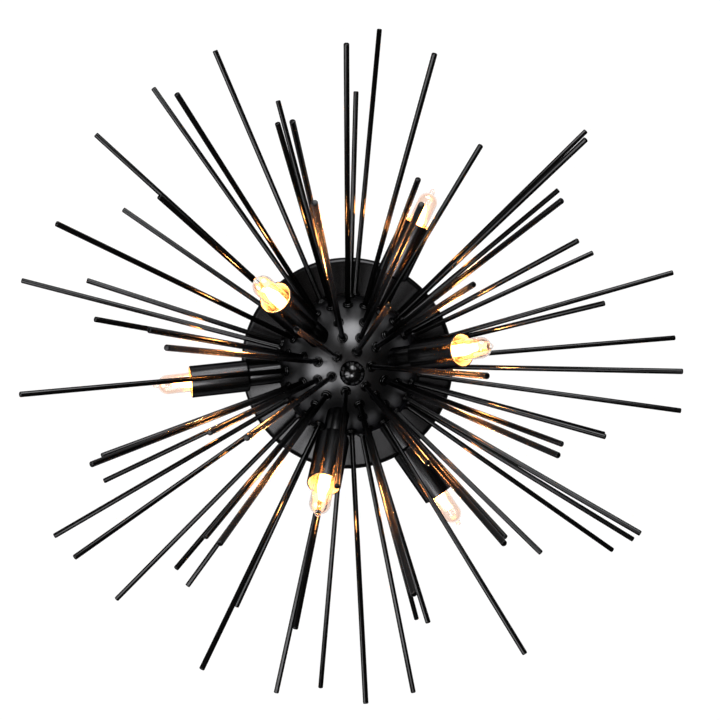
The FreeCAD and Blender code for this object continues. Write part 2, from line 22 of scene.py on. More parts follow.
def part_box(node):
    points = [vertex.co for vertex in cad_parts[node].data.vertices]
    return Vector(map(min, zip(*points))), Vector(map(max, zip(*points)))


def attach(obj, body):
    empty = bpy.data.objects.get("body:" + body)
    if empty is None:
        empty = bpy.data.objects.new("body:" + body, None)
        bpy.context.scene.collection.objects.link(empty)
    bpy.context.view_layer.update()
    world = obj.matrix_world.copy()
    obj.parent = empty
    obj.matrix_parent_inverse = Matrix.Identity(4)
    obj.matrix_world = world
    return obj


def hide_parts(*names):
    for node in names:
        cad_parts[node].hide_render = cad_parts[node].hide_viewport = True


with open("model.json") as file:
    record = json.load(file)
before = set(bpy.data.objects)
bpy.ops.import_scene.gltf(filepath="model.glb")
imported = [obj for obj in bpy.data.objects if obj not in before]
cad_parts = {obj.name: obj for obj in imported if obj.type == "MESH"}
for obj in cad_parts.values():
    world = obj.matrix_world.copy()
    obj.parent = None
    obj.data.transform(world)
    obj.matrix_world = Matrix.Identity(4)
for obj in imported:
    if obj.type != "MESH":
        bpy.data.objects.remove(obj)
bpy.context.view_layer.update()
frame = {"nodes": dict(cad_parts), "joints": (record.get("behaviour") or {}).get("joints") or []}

LOG = logging.getLogger("burst_light")
PHOTO_SIDE = 720
SHARP_ANGLE = math.radians(32)
FLAT_ANGLE = math.radians(1)
HARD_ANGLE = math.radians(40)
MERGE_GAP = 1e-7
SEAM_GAP = 1e-6
IN_PLACE = Matrix.Identity(4)
THREAD_PROFILE = ((0.0, 0.0), (0.12, 0.0), (0.5, 1.0), (0.62, 1.0), (1.0, 0.0))
THREAD_LEAD_IN = 1.5

Colour = tuple[float, float, float]
Point = tuple[float, float, float]
Outline = Sequence[tuple[float, float]]
BMesh = bmesh.types.BMesh
Socket = bpy.types.NodeSocket


class Body(Enum):
    """Bodies of the frame, apart from the numbered bulbs."""

    FIXTURE = "fixture"
    WASHER = "finial_washer"
    FINIAL = "finial"


class Reach(Enum):
    """The two lengths of rod, with the letter that stands for each in a row's pattern."""

    LONG = "L"
    SHORT = "S"


class Finish(Protocol):
    """A surface finish that can make its own material."""

    slot: str

    def material(self) -> bpy.types.Material:
        """Make the node material of this finish."""


@dataclass(frozen=True)
class Pattern:
    """Noise over a surface: grains per metre, levels of finer grain, and a factor on each axis."""

    scale: float
    detail: float = 2.0
    stretch: Point = (1, 1, 1)


@dataclass(frozen=True)
class Grain:
    """Raised noise: its pattern, the height of its peaks in metres and the share of it that shows."""

    pattern: Pattern
    height: float
    strength: float


class Recipe:
    """Shorthand for the node tree of one material."""

    def __init__(self, name: str) -> None:
        """Start a material with its main shader and Object coordinates.

        Args:
            name: Name of the material.
        """
        self.material = bpy.data.materials.new(name)
        self.material.use_nodes = True
        self.tree = self.material.node_tree
        self.shader = self.tree.nodes["Principled BSDF"]
        self.place = self.node("ShaderNodeTexCoord").outputs["Object"]

    def node(self, kind: str, **values: object) -> bpy.types.Node:
        """Add a node.

        Args:
            kind: Its type.
            values: Constants for its sockets, with _ for the spaces of a socket's name.

        Returns:
            The node.
        """
        node = self.tree.nodes.new(kind)
        for name, value in values.items():
            node.inputs[name.replace("_", " ")].default_value = value
        return node

    def fix(self, **values: object) -> None:
        """Set constant sockets of the main shader, with _ for the spaces of a socket's name."""
        for name, value in values.items():
            self.shader.inputs[name.replace("_", " ")].default_value = value

    def join(self, source: Socket, node: bpy.types.Node, socket: str | int) -> None:
        """Join an output to a socket of a node."""
        self.tree.links.new(source, node.inputs[socket])

    def link(self, source: Socket, socket: str) -> None:
        """Join an output to a socket of the main shader."""
        self.join(source, self.shader, socket)

    def noise(self, pattern: Pattern) -> Socket:
        """Add a noise.

        Args:
            pattern: Its pattern.

        Returns:
            Its value.
        """
        mapping = self.node("ShaderNodeMapping", Scale=pattern.stretch)
        noise = self.node("ShaderNodeTexNoise", Scale=pattern.scale, Detail=pattern.detail)
        self.join(self.place, mapping, "Vector")
        self.join(mapping.outputs["Vector"], noise, "Vector")
        return noise.outputs["Fac"]

    def ramp(self, source: Socket, low: Colour, high: Colour,
             start: float = 0.3, end: float = 0.7) -> Socket:
        """Blend two colours by a value.

        Args:
            source: The value.
            low: Colour at the start.
            high: Colour at the end.
            start: Value at which the blend starts.
            end: Value at which the blend ends.

        Returns:
            The blended colour.
        """
        ramp = self.node("ShaderNodeValToRGB")
        for element, position, colour in zip(ramp.color_ramp.elements, (start, end), (low, high)):
            element.position = position
            element.color = (*colour, 1.0)
        self.join(source, ramp, "Fac")
        return ramp.outputs["Color"]

    def between(self, source: Socket, low: float, high: float,
                start: float = 0.3, end: float = 0.7) -> Socket:
        """Spread a value over a range of numbers.

        Args:
            source: The value.
            low: Number at the start.
            high: Number at the end.
            start: Value that gives the low number.
            end: Value that gives the high number.

        Returns:
            The number.
        """
        spread = self.node("ShaderNodeMapRange", From_Min=start, From_Max=end, To_Min=low, To_Max=high)
        self.join(source, spread, "Value")
        return spread.outputs["Result"]

    def roughen(self, grain: Grain) -> None:
        """Raise the surface by a grain.

        Args:
            grain: The grain.
        """
        bump = self.node("ShaderNodeBump", Distance=grain.height, Strength=grain.strength)
        self.join(self.noise(grain.pattern), bump, "Height")
        self.link(bump.outputs["Normal"], "Normal")

    def facing(self, blend: float) -> Socket:
        """Value that rises from face on to edge on, for glass."""
        return self.node("ShaderNodeLayerWeight", Blend=blend).outputs["Facing"]

    def attribute(self, name: str) -> Socket:
        """Read a value that a mesh keeps at its points."""
        node = self.node("ShaderNodeAttribute")
        node.attribute_name = name
        return node.outputs["Fac"]


@dataclass(frozen=True)
class Mottled:
    """Finish whose colour and gloss wander over the surface, with a fine grain where it has one."""

    slot: str
    name: str
    deep: Colour
    pale: Colour
    smooth: float
    dull: float
    cloud: Pattern
    sheen: Pattern
    grain: Grain | None = None
    metallic: float = 0.0
    edge: Colour = (1.0, 1.0, 1.0)
    specular: float = 0.5

    def material(self) -> bpy.types.Material:
        """Make the node material of this finish."""
        recipe = Recipe(self.name)
        recipe.link(recipe.ramp(recipe.noise(self.cloud), self.deep, self.pale), "Base Color")
        recipe.link(recipe.between(recipe.noise(self.sheen), self.smooth, self.dull), "Roughness")
        if self.grain:
            recipe.roughen(self.grain)
        recipe.fix(Metallic=self.metallic, Specular_Tint=(*self.edge, 1.0), Specular_IOR_Level=self.specular)
        return recipe.material


@dataclass(frozen=True)
class SatinBlack(Mottled):
    """Black coat on metal with a fine grain, a little uneven in tone and gloss, dark up to its edges."""

    slot: str = "satin_black"
    name: str = "satin_black_powder_coat"
    deep: Colour = (0.033, 0.033, 0.0342)
    pale: Colour = (0.041, 0.041, 0.0425)
    smooth: float = 0.24
    dull: float = 0.26
    cloud: Pattern = Pattern(60.0, 4.0)
    sheen: Pattern = Pattern(420.0)
    grain: Grain = Grain(Pattern(1500.0, 3.0), height=0.00002, strength=0.015)
    metallic: float = 1.0
    edge: Colour = (0.20, 0.20, 0.205)


# The rods' coat is a darker copy of the satin black with its edge reflection turned down, painted shade that
# keeps the rods black. The steep rows' copy has its edge reflection turned up, a painted glint that makes
# them show the bulbs' orange light.
DARKENED_ROD_COAT = SatinBlack(name="rod_coat_painted_shade", deep=(0.021, 0.021, 0.0216), pale=(0.026, 0.026, 0.0267),
                      edge=(0.06, 0.06, 0.0615), smooth=0.17, dull=0.19,
                      grain=replace(SatinBlack.grain, strength=0.004))
GLINT_ROD_COAT = replace(DARKENED_ROD_COAT, name="rod_coat_painted_glint_edges", deep=(0.014, 0.014, 0.0144),
                         pale=(0.018, 0.018, 0.0185), edge=(0.65, 0.65, 0.666), smooth=0.22, dull=0.25)
# The hub's coat is a brighter copy of the satin black, painted sheen that lifts its highlights. The canopy
# pan's coat is a darker copy, painted shade that deepens its black.
BRIGHTENED_HUB_COAT = SatinBlack(name="hub_coat_painted_sheen", deep=(0.047, 0.047, 0.0487), pale=(0.058, 0.058, 0.060),
                      smooth=0.29, dull=0.32)
DARKENED_PAN_COAT = SatinBlack(name="pan_coat_painted_shade", deep=(0.018, 0.018, 0.0186), pale=(0.022, 0.022, 0.0227),
                      edge=(0.12, 0.12, 0.123))


@dataclass(frozen=True)
class GlossBlack(Mottled):
    """Black lacquer on metal, smoother than the coat, with faint waves in its gloss."""

    slot: str = "gloss_black"
    name: str = "gloss_black_lacquer"
    deep: Colour = (0.030, 0.030, 0.0308)
    pale: Colour = (0.042, 0.042, 0.0430)
    smooth: float = 0.16
    dull: float = 0.21
    cloud: Pattern = Pattern(240.0, 3.0)
    sheen: Pattern = Pattern(120.0)
    metallic: float = 1.0
    edge: Colour = (0.3, 0.3, 0.31)


@dataclass(frozen=True)
class CupLining(Mottled):
    """Matt black inside of a lamp cup, browned a little by the heat of the bulb."""

    slot: str = "satin_black"
    name: str = "heat_browned_lining"
    deep: Colour = (0.0072, 0.0069, 0.0065)
    pale: Colour = (0.0130, 0.0120, 0.0110)
    smooth: float = 0.5
    dull: float = 0.65
    cloud: Pattern = Pattern(150.0, 4.0)
    sheen: Pattern = Pattern(500.0)
    specular: float = 0.2


@dataclass(frozen=True)
class ZincPlate(Mottled):
    """Zinc plated steel with drawn marks and a cloudy bloom."""

    slot: str = "zinc_steel"
    name: str = "zinc_plate"
    deep: Colour = (0.36, 0.36, 0.35)
    pale: Colour = (0.62, 0.62, 0.60)
    smooth: float = 0.28
    dull: float = 0.46
    cloud: Pattern = Pattern(180.0, 4.0)
    sheen: Pattern = Pattern(700.0, 3.0, (0.15, 1, 1))
    grain: Grain = Grain(Pattern(900.0, 3.0, (0.1, 1, 1)), height=0.00002, strength=0.5)
    metallic: float = 1.0


@dataclass(frozen=True)
class GlazedCeramic(Mottled):
    """White ceramic under a thin glaze that pools a little."""

    slot: str = "white_ceramic"
    name: str = "glazed_ceramic"
    deep: Colour = (0.70, 0.66, 0.58)
    pale: Colour = (0.84, 0.81, 0.74)
    smooth: float = 0.22
    dull: float = 0.40
    cloud: Pattern = Pattern(160.0, 4.0)
    sheen: Pattern = Pattern(300.0)
    grain: Grain = Grain(Pattern(500.0, 3.0), height=0.00003, strength=0.5)


@dataclass(frozen=True)
class OrangePlastic(Mottled):
    """Moulded orange plastic with a fine mould grain."""

    slot: str = "orange_plastic"
    name: str = "orange_plastic"
    deep: Colour = (0.72, 0.13, 0.01)
    pale: Colour = (0.88, 0.20, 0.02)
    smooth: float = 0.40
    dull: float = 0.55
    cloud: Pattern = Pattern(220.0, 3.0)
    sheen: Pattern = Pattern(800.0)
    grain: Grain = Grain(Pattern(2200.0), height=0.00002, strength=0.5)


@dataclass(frozen=True)
class BulbGlass:
    """Clear heat-proof glass with drawn streaks, tinted peach face on and amber where seen through its edge:
    a painted warm glow of the lit core.
    """

    slot: str = "clear_glass"
    face_glow_tint: Colour = (0.99, 0.87, 0.79)
    edge_glow_tint: Colour = (0.93, 0.65, 0.52)
    haze: float = 0.06
    streaks: Grain = Grain(Pattern(220.0), height=0.0002, strength=0.5)

    def material(self) -> bpy.types.Material:
        """Make the node material of this finish."""
        recipe = Recipe("bulb_glass")
        # Peach face on and amber edge on: painted glow of the lit core.
        recipe.link(recipe.ramp(recipe.facing(0.5), self.face_glow_tint, self.edge_glow_tint, 0.1, 0.75), "Base Color")
        recipe.link(recipe.between(recipe.noise(Pattern(260.0)), 0.0, self.haze), "Roughness")
        recipe.roughen(self.streaks)
        recipe.fix(Transmission_Weight=1.0, IOR=1.46)
        return recipe.material


@dataclass(frozen=True)
class LitCore:
    """Glowing core of a lit bulb, hottest in its thick part and cooler to its end."""

    slot: str = "lit_core"
    hot: Colour = (1.0, 0.355, 0.085)
    warm: Colour = (1.0, 0.295, 0.06)
    least: float = 2.0
    most: float = 1500.0
    deep: Colour = (0.8, 0.6, 0.3)
    pale: Colour = (0.9, 0.75, 0.45)

    def material(self) -> bpy.types.Material:
        """Make the node material of this finish."""
        recipe = Recipe("lit_core")
        glow = recipe.attribute("core_glow")
        recipe.link(recipe.ramp(glow, self.warm, self.hot, 0.0, 1.0), "Emission Color")
        recipe.link(recipe.between(glow, self.least, self.most, 0.0, 1.0), "Emission Strength")
        recipe.link(recipe.ramp(recipe.noise(Pattern(400.0)), self.deep, self.pale), "Base Color")
        recipe.fix(Roughness=0.6)
        recipe.material.cycles.emission_sampling = "FRONT"
        return recipe.material


@dataclass(frozen=True)
class LeadSleeve:
    """Woven glass-fibre sleeve of a heat-proof lead."""

    slot: str = "lead_sleeve"
    deep: Colour = (0.50, 0.47, 0.40)
    pale: Colour = (0.80, 0.77, 0.70)
    weave: Grain = Grain(Pattern(1400.0, 1.0), height=0.0002, strength=0.8)

    def material(self) -> bpy.types.Material:
        """Make the node material of this finish."""
        recipe = Recipe("lead_sleeve")
        threads = recipe.noise(self.weave.pattern)
        recipe.link(recipe.ramp(threads, self.deep, self.pale, 0.4, 0.6), "Base Color")
        recipe.roughen(self.weave)
        recipe.fix(Roughness=0.75)
        return recipe.material


@dataclass(frozen=True)
class GreenPaint:
    """Green lacquer of the ground screw, worn to metal in places."""

    slot: str = "green_screw"
    paint: Colour = (0.02, 0.22, 0.05)
    worn: Colour = (0.10, 0.36, 0.12)
    smooth: float = 0.3
    dull: float = 0.5

    def material(self) -> bpy.types.Material:
        """Make the node material of this finish."""
        recipe = Recipe("green_ground_screw")
        wear = recipe.noise(Pattern(500.0, 4.0))
        recipe.link(recipe.ramp(wear, self.paint, self.worn, 0.45, 0.65), "Base Color")
        recipe.link(recipe.between(wear, self.smooth, self.dull), "Roughness")
        recipe.fix(Metallic=0.4)
        return recipe.material


def seen_by(tree: bpy.types.NodeTree, *rays: str) -> Socket:
    """Value of one for some kinds of ray and zero for the others.

    Args:
        tree: The node tree.
        rays: Names of the kinds, as the light path gives them.

    Returns:
        The value.
    """
    path = tree.nodes.new("ShaderNodeLightPath")
    seen = path.outputs[rays[0]]
    for ray in rays[1:]:
        widest = tree.nodes.new("ShaderNodeMath")
        widest.operation = "MAXIMUM"
        tree.links.new(seen, widest.inputs[0])
        tree.links.new(path.outputs[ray], widest.inputs[1])
        seen = widest.outputs["Value"]
    return seen


@dataclass(frozen=True)
class CeilingPaint:
    """White ceiling paint that shows white to camera, gloss and glass, and is open from above."""

    deep: Colour = (0.02, 0.02, 0.02)
    pale: Colour = (0.03, 0.03, 0.03)

    def material(self) -> bpy.types.Material:
        """Make the node material of this finish, which is seen and gives no light."""
        recipe = Recipe("ceiling_paint")
        recipe.link(recipe.ramp(recipe.noise(Pattern(40.0, 3.0)), self.deep, self.pale), "Base Color")
        recipe.fix(Roughness=0.9, Specular_IOR_Level=0.0, Emission_Color=(1, 1, 1, 1))
        seen = seen_by(recipe.tree, "Is Camera Ray", "Is Glossy Ray", "Is Transmission Ray")
        recipe.link(seen, "Emission Strength")
        mix = recipe.node("ShaderNodeMixShader")
        recipe.join(recipe.node("ShaderNodeNewGeometry").outputs["Backfacing"], mix, "Fac")
        recipe.join(recipe.shader.outputs["BSDF"], mix, 1)
        recipe.join(recipe.node("ShaderNodeBsdfTransparent").outputs["BSDF"], mix, 2)
        recipe.join(mix.outputs["Shader"], recipe.tree.nodes["Material Output"], "Surface")
        recipe.material.cycles.emission_sampling = "NONE"
        return recipe.material


@dataclass(frozen=True)
class FloorPaint:
    """Pale matt floor."""

    deep: Colour = (0.60, 0.60, 0.60)
    pale: Colour = (0.66, 0.66, 0.66)

    def material(self) -> bpy.types.Material:
        """Make the node material of this finish."""
        recipe = Recipe("pale_floor")
        recipe.link(recipe.ramp(recipe.noise(Pattern(6.0, 4.0)), self.deep, self.pale), "Base Color")
        recipe.fix(Roughness=0.9)
        return recipe.material


def arc(along: float, radius: float, bend: float, start: float, end: float,
        steps: int = 5) -> list[tuple[float, float]]:
    """Points of a round stretch of an outline.

    Args:
        along: Place of the arc's centre along the axis.
        radius: Distance of the arc's centre from the axis.
        bend: Radius of the arc.
        start: First angle in degrees, from the axis.
        end: Last angle in degrees.
        steps: Number of straight steps.

    Returns:
        The points as (along, radius).
    """
    angles = [math.radians(start + (end - start) * step / steps) for step in range(steps + 1)]
    return [(along + bend * math.cos(angle), radius + bend * math.sin(angle)) for angle in angles]


def chain(bm: BMesh, outline: Outline) -> list[bmesh.types.BMVert | bmesh.types.BMEdge]:
    """Draw an outline as a chain of edges, ready to be spun about the X axis.

    Args:
        bm: The mesh that it is drawn in.
        outline: Points as (along, radius).

    Returns:
        The points and edges.
    """
    points = [bm.verts.new((along, 0.0, radius)) for along, radius in outline]
    return points + [bm.edges.new(pair) for pair in zip(points, points[1:])]


def lathe(outline: Outline, segments: int = 48) -> BMesh:
    """Spin an outline about the X axis into a closed, outward mesh.

    Args:
        outline: Points as (along, radius), from one end of the section to the other.
        segments: Number of steps round the axis.

    Returns:
        The spun mesh.
    """
    bm = bmesh.new()
    bmesh.ops.spin(bm, geom=chain(bm, outline), cent=(0, 0, 0), axis=(1, 0, 0),
                   angle=math.tau, steps=segments, use_merge=True, use_duplicate=False)
    bmesh.ops.remove_doubles(bm, verts=bm.verts, dist=MERGE_GAP)
    bmesh.ops.recalc_face_normals(bm, faces=bm.faces)
    if bm.calc_volume(signed=True) < 0:
        bmesh.ops.reverse_faces(bm, faces=bm.faces)
    return bm


def ring(outline: Outline, segments: int = 48) -> BMesh:
    """Spin a closed section, whose last point joins its first."""
    return lathe([*outline, outline[0]], segments)


def as_mesh(bm: BMesh, name: str) -> bpy.types.Mesh:
    """Turn a bmesh into a smooth mesh with sharp edges kept, and free it.

    Args:
        bm: The bmesh.
        name: Name of the mesh.

    Returns:
        The mesh.
    """
    for face in bm.faces:
        face.smooth = True
    mesh = bpy.data.meshes.new(name)
    bm.to_mesh(mesh)
    bm.free()
    mesh.set_sharp_from_angle(angle=SHARP_ANGLE)
    return mesh


def stamp(bm: BMesh, master: bpy.types.Mesh, matrix: Matrix = IN_PLACE) -> None:
    """Add a placed copy of a mesh.

    Args:
        bm: The mesh that grows.
        master: The mesh that is copied.
        matrix: Place of the copy.
    """
    first = len(bm.verts)
    bm.from_mesh(master)
    bm.verts.ensure_lookup_table()
    bmesh.ops.transform(bm, matrix=matrix, verts=bm.verts[first:])


def cut_flat(bm: BMesh, along: float, away: int) -> None:
    """Cut a mesh across the X axis, drop one side and close the cut.

    Args:
        bm: The mesh.
        along: Where the cut is.
        away: 1 to drop the far side, -1 to drop the near side.
    """
    cut = bmesh.ops.bisect_plane(bm, geom=[*bm.verts, *bm.edges, *bm.faces], dist=MERGE_GAP,
                                 plane_co=(along, 0, 0), plane_no=(away, 0, 0), clear_outer=True)
    rim = [item for item in cut["geom_cut"] if isinstance(item, bmesh.types.BMEdge)]
    bmesh.ops.holes_fill(bm, edges=rim, sides=0)


def thread(radius: float, depth: float, pitch: float, start: float, end: float, segments: int = 24) -> BMesh:
    """Wind a screw thread about the X axis, cut flat at both ends.

    Args:
        radius: Radius of the crests.
        depth: Depth of the grooves.
        pitch: Distance from turn to turn.
        start: Where the thread starts.
        end: Where it ends.
        segments: Number of steps in a turn.

    Returns:
        The closed thread.
    """
    turns = math.ceil((end - start) / pitch) + 2
    profile = [(start + pitch * (share - THREAD_LEAD_IN), radius - depth * drop)
               for share, drop in THREAD_PROFILE]
    bm = bmesh.new()
    bmesh.ops.spin(bm, geom=chain(bm, profile), cent=(0, 0, 0), axis=(1, 0, 0),
                   dvec=(pitch / segments, 0, 0), angle=math.tau * turns, steps=segments * turns,
                   use_merge=False, use_duplicate=False)
    bmesh.ops.remove_doubles(bm, verts=bm.verts, dist=SEAM_GAP)
    cut_flat(bm, start, -1)
    cut_flat(bm, end, 1)
    bmesh.ops.recalc_face_normals(bm, faces=bm.faces)
    return bm


def softened(node: str, width: float) -> BMesh:
    """Copy a CAD node and bevel its hard edges.

    Args:
        node: Name of the node.
        width: Width of the bevel.

    Returns:
        The softened copy, in place.
    """
    bm = bmesh.new()
    bm.from_mesh(frame["nodes"][node].data)
    bmesh.ops.remove_doubles(bm, verts=bm.verts, dist=SEAM_GAP)
    bmesh.ops.dissolve_limit(bm, angle_limit=FLAT_ANGLE, verts=bm.verts, edges=bm.edges)
    edges = [edge for edge in bm.edges if len(edge.link_faces) == 2 and edge.calc_face_angle() > HARD_ANGLE]
    bmesh.ops.bevel(bm, geom=edges, offset=width, offset_type="OFFSET", segments=2, profile=0.5,
                    affect="EDGES", clamp_overlap=True, material=-1)
    return bm


def upright() -> Matrix:
    """Matrix that turns a piece nose down, so that its X is the depth below the ceiling."""
    return Matrix.Rotation(math.pi / 2, 4, "Y")


def outward(direction: Vector, origin: Vector) -> Matrix:
    """Matrix that lays +X along a direction, with Y level.

    Args:
        direction: The way that the piece points.
        origin: Where its X starts.

    Returns:
        The placing matrix.
    """
    along = direction.normalized()
    level = Vector((0, 0, 1)).cross(along).normalized()
    turn = Matrix((along, level, along.cross(level))).transposed()
    return Matrix.Translation(origin) @ turn.to_4x4()


class Bench:
    """Makes materials once and turns finished meshes into pieces of the light."""

    def __init__(self) -> None:
        """Start with no materials."""
        self._materials: dict[Finish, bpy.types.Material] = {}

    def material(self, finish: Finish) -> bpy.types.Material:
        """Give the one material of a finish, made at its first use."""
        if finish not in self._materials:
            self._materials[finish] = finish.material()
        return self._materials[finish]

    def piece(self, name: str, bm: BMesh, finishes: Sequence[Finish], nodes: Iterable[str],
              body: str = Body.FIXTURE.value, place: Matrix = IN_PLACE) -> bpy.types.Object:
        """Make a piece that rides on a body and stands for CAD nodes.

        Args:
            name: Name of the piece.
            bm: Its finished mesh.
            finishes: Its finishes, in the order of the faces' material numbers.
            nodes: The CAD nodes it stands for.
            body: The body it moves with.
            place: Where its mesh is put.

        Returns:
            The piece.
        """
        bmesh.ops.transform(bm, matrix=place, verts=bm.verts)
        return self.register(bpy.data.objects.new(name, as_mesh(bm, name)), finishes, nodes, body)

    def register(self, piece: bpy.types.Object, finishes: Sequence[Finish], nodes: Iterable[str],
                 body: str = Body.FIXTURE.value) -> bpy.types.Object:
        """Link, dress and report a new object.

        Args:
            piece: The object.
            finishes: Its finishes.
            nodes: The CAD nodes it stands for.
            body: The body it moves with.

        Returns:
            The object.
        """
        bpy.context.scene.collection.objects.link(piece)
        for finish in finishes:
            piece.data.materials.append(self.material(finish))
        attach(piece, body)
        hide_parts(*nodes)
        LOG.info("piece %s rides on %s", piece.name, body)
        return piece

    def soften(self, node: str, finish: Finish, body: str = Body.FIXTURE.value,
               width: float = 0.0003) -> None:
        """Replace a CAD node by its copy with bevelled edges.

        Args:
            node: Name of the node.
            finish: Its finish.
            body: The body it moves with.
            width: Width of the bevel.
        """
        self.piece(f"{node}_bevelled", softened(node, width), [finish], [node], body)

    def dress(self, node: str, finish: Finish) -> None:
        """Give a CAD node that stays in sight a finish.

        Args:
            node: Name of the node.
            finish: Its finish.
        """
        shown = frame["nodes"][node]
        if not shown.material_slots:
            shown.data.materials.append(None)
        shown.material_slots[0].material = self.material(finish)
        LOG.info("node %s dressed", node)


def hub_centre() -> Vector:
    """Centre of the hub's half ball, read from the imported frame."""
    low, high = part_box("hub_dome")
    return Vector((0, 0, low.z + (high.x - low.x) / 2))


@dataclass
class Canopy:
    """Round pan against the ceiling, with a soft edge and a hole for stem and leads."""

    radius: float = 0.100
    height: float = 0.026
    wall: float = 0.0012
    edge: float = 0.005
    hole: float = 0.017

    def section(self) -> list[tuple[float, float]]:
        """Closed section of the pan as (depth, radius)."""
        inner = self.edge - self.wall
        turn = self.height - self.edge
        return [(self.height - self.wall, self.hole), (self.height, self.hole),
                *arc(turn, self.radius - self.edge, self.edge, 0, 90, 8),
                (0.0, self.radius), (0.0, self.radius - self.wall),
                *arc(turn, self.radius - self.edge, inner, 90, 0, 6)]

    def build(self, bench: Bench) -> None:
        """Spin the pan and hang it from the ceiling."""
        pan = ring(self.section(), segments=144)
        bench.piece("canopy_pan", pan, [DARKENED_PAN_COAT], ["canopy"], place=upright())


@dataclass
class Hub:
    """Half-ball shell that carries rods and lamps, with a short skirt and an inner flange."""

    radius: float = 0.066
    wall: float = 0.0015
    skirt: float = 0.003
    flange_width: float = 0.011
    flange_thick: float = 0.002
    pole_hole: float = 0.0042

    def section(self) -> list[tuple[float, float]]:
        """Closed section of the shell as (depth, radius)."""
        level, inner = -hub_centre().z, self.radius - self.wall
        top = level - self.skirt
        flange = inner - self.flange_width
        outside = math.degrees(math.asin(self.pole_hole / self.radius))
        inside = math.degrees(math.asin(self.pole_hole / inner))
        return [*arc(level, 0.0, self.radius, outside, 90, 40), (top, self.radius), (top, flange),
                (top + self.flange_thick, flange), (top + self.flange_thick, inner),
                *arc(level, 0.0, inner, 90, inside, 32)]

    def build(self, bench: Bench) -> None:
        """Spin the shell and hang it under the canopy."""
        shell = ring(self.section(), segments=128)
        bench.piece("hub_shell", shell, [BRIGHTENED_HUB_COAT], ["hub_dome"], place=upright())


@dataclass(frozen=True)
class RodRow:
    """One row of rods round the hub: L long, S short, and a dot where a lamp stands."""

    name: str
    pattern: str
    polar: float
    phase: float
    coat: SatinBlack = DARKENED_ROD_COAT

    def directions(self, reach: Reach) -> list[Vector]:
        """Ways that the row's rods of one length point.

        Args:
            reach: Which of the two lengths.

        Returns:
            Unit vectors from the hub's centre.
        """
        step = math.tau / len(self.pattern)
        tilt = math.radians(self.polar)
        turns = [-(math.radians(self.phase) + step * slot)
                 for slot, letter in enumerate(self.pattern) if letter == reach.value]
        return [Vector((math.sin(tilt) * math.cos(turn), math.sin(tilt) * math.sin(turn), -math.cos(tilt)))
                for turn in turns]


ROWS = (
    RodRow("equator", ".LSLSL.SLSLS.LSLSL", 86.0, 65.7),
    RodRow("belt", ".SLLS.LSLL.LLLS", 78.5, 65.7),
    RodRow("middle", "LSSLSLLSLSLSLSLSLSLSLSLS", 60.5, 2.5),
    # The three steep rows take the copy of the rod coat with bright edges: painted glints of the bulbs along
    # them.
    RodRow("lower", ".LSL.SLS.SSS", 41.5, 15.0, GLINT_ROD_COAT),
    RodRow("inner", ".SLL.LSL.LLL", 27.5, 15.0, GLINT_ROD_COAT),
    RodRow("pole", "LSSLSS", 15.8, 15.0, GLINT_ROD_COAT),
)


@dataclass
class RodSpray:
    """All the rods, with the stepped collar at each rod's foot and the nut inside the hub."""

    radius: float = 0.0023
    foot: float = 0.058
    long_reach: float = 0.305
    short_reach: float = 0.249
    tip_round: float = 0.0009
    collar_seat: float = 0.0658
    flange_radius: float = 0.0048
    flange_height: float = 0.0016
    boss_radius: float = 0.0033
    boss_height: float = 0.0026
    groove_depth: float = 0.0009
    soft_edge: float = 0.0006
    rod_gap: float = 0.00025

    def rod(self, reach: Reach) -> bpy.types.Mesh:
        """Mesh of one rod with a softly rounded tip.

        Args:
            reach: Which of the two lengths.

        Returns:
            The rod, along +X.
        """
        end = self.long_reach if reach is Reach.LONG else self.short_reach
        outline = [(self.foot, 0.0), (self.foot, self.radius),
                   *arc(end - self.tip_round, self.radius - self.tip_round, self.tip_round, 90, 0, 4),
                   (end, 0.0)]
        return as_mesh(lathe(outline, segments=20), f"rod_{reach.name.lower()}")

    def collar(self) -> bpy.types.Mesh:
        """Mesh of one collar: a flange on the hub, a groove and a smaller boss round the rod."""
        seat, soft = self.collar_seat, self.soft_edge
        bore = self.radius + self.rod_gap
        shoulder, top = seat + self.flange_height, seat + self.boss_height
        floor = shoulder - self.groove_depth
        section = [(seat, bore), (seat, self.flange_radius),
                   *arc(shoulder - soft, self.flange_radius - soft, soft, 90, -60, 5),
                   (floor, self.boss_radius + soft * 0.5), (floor, self.boss_radius),
                   *arc(top - soft, self.boss_radius - soft, soft, 90, 0, 3),
                   (top, bore + soft * 0.3), (top - soft * 0.5, bore)]
        return as_mesh(ring(section, segments=24), "rod_collar")

    def build(self, bench: Bench) -> None:
        """Stamp every rod and collar at its slot and soften the nuts.

        Args:
            bench: Maker of pieces.
        """
        centre = hub_centre()
        collars, collar = bmesh.new(), self.collar()
        for reach in Reach:
            rod = self.rod(reach)
            for row in ROWS:
                rods = bmesh.new()
                for direction in row.directions(reach):
                    stamp(rods, rod, outward(direction, centre))
                    stamp(collars, collar, outward(direction, centre))
                name = f"{row.name}_rods_{reach.name.lower()}"
                bench.piece(f"{name}_round_tipped", rods, [row.coat], [name])
        bench.piece("stepped_collars", collars, [DARKENED_ROD_COAT], ["rod_collars"])
        bench.soften("rod_nuts", ZincPlate())


